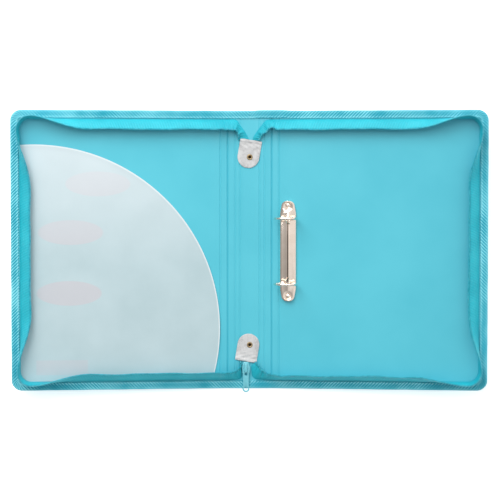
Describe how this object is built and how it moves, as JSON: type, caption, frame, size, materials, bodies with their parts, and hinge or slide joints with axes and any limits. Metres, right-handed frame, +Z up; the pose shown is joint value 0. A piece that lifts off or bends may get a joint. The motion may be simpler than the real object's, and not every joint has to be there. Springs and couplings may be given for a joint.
{
  "type": "zip-around ring binder",
  "caption": "Zip-around binder lying open: folded plastic sheet with woven binding, zip walls, riveted D-ring mechanism that opens, corner pocket, end tabs and slider.",
  "frame": {"origin": "under the middle of the spine, on the surface that the open binder lies on", "axes": "+X across the open covers towards the back cover with the rings, +Y towards the head of the book, +Z up"},
  "size_m": [0.578, 0.3456, 0.0438],
  "materials": {
    "sheet_polypropylene": "satin extruded sheet",
    "woven_binding": "fine woven polyester",
    "zip_tape": "woven polyester tape",
    "zip_coil": "nylon coil",
    "frosted_film": "frosted translucent film",
    "white_leatherette": "grained coated cloth",
    "nickel_eyelet": "plated",
    "nickel_plated_steel": "bright nickel plate",
    "lacquered_slider": "baked lacquer"
  },
  "bodies": {
    "spine": {"spine_panel": "sheet_polypropylene", "spine_binding_head": "woven_binding", "spine_binding_foot": "woven_binding", "zip_end_front_head": "zip_tape", "zip_end_back_head": "zip_tape", "zip_end_front_foot": "zip_tape", "zip_end_back_foot": "zip_tape", "zip_slider": "lacquered_slider", "tab_head": "white_leatherette", "tab_foot": "white_leatherette", "tab_eyelet_head": "nickel_eyelet", "tab_eyelet_foot": "nickel_eyelet"},
    "front_cover": {"front_cover_panel": "sheet_polypropylene", "front_binding": "woven_binding", "pocket_film": "frosted_film", "zip_tape_front": "zip_tape", "zip_coil_front": "zip_coil"},
    "back_cover": {"back_cover_panel": "sheet_polypropylene", "back_binding": "woven_binding", "zip_tape_back": "zip_tape", "zip_coil_back": "zip_coil", "ring_cover_plate": "nickel_plated_steel", "rivet_upper": "nickel_plated_steel", "rivet_lower": "nickel_plated_steel", "rivet_washer_upper": "nickel_plated_steel", "rivet_washer_lower": "nickel_plated_steel"},
    "left_rings": {"ring_blade_left": "nickel_plated_steel", "ring_left_upper": "nickel_plated_steel", "ring_left_lower": "nickel_plated_steel"},
    "right_rings": {"ring_blade_right": "nickel_plated_steel", "ring_right_upper": "nickel_plated_steel", "ring_right_lower": "nickel_plated_steel"},
    "puller": {"zip_puller": "lacquered_slider"}
  },
  "joints": [
    {"name": "front_cover_fold", "type": "hinge", "parent": "spine", "child": "front_cover", "pos_m": [-0.027, 0, 0.0018], "axis": [0, 1, 0], "range_deg": [-5.4, 84.6]},
    {"name": "back_cover_fold", "type": "hinge", "parent": "spine", "child": "back_cover", "pos_m": [0.027, 0, 0.0018], "axis": [0, -1, 0], "range_deg": [-5.4, 84.6]},
    {"name": "left_rings_open", "type": "hinge", "parent": "back_cover", "child": "left_rings", "pos_m": [0.03881, 0, 0.00442], "axis": [0, -1, 0], "range_deg": [0, 13]},
    {"name": "right_rings_open", "type": "hinge", "parent": "back_cover", "child": "right_rings", "pos_m": [0.05573, 0, 0.00602], "axis": [0, 1, 0], "range_deg": [0, 13]},
    {"name": "puller_swing", "type": "hinge", "parent": "spine", "child": "puller", "pos_m": [-0.0044, -0.1474, 0.0075], "axis": [-1, 0, 0], "range_deg": [0, 150]}
  ],
  "couplings": [
    {"joint": "right_rings_open", "follows": "left_rings_open", "ratio": 1}
  ]
}
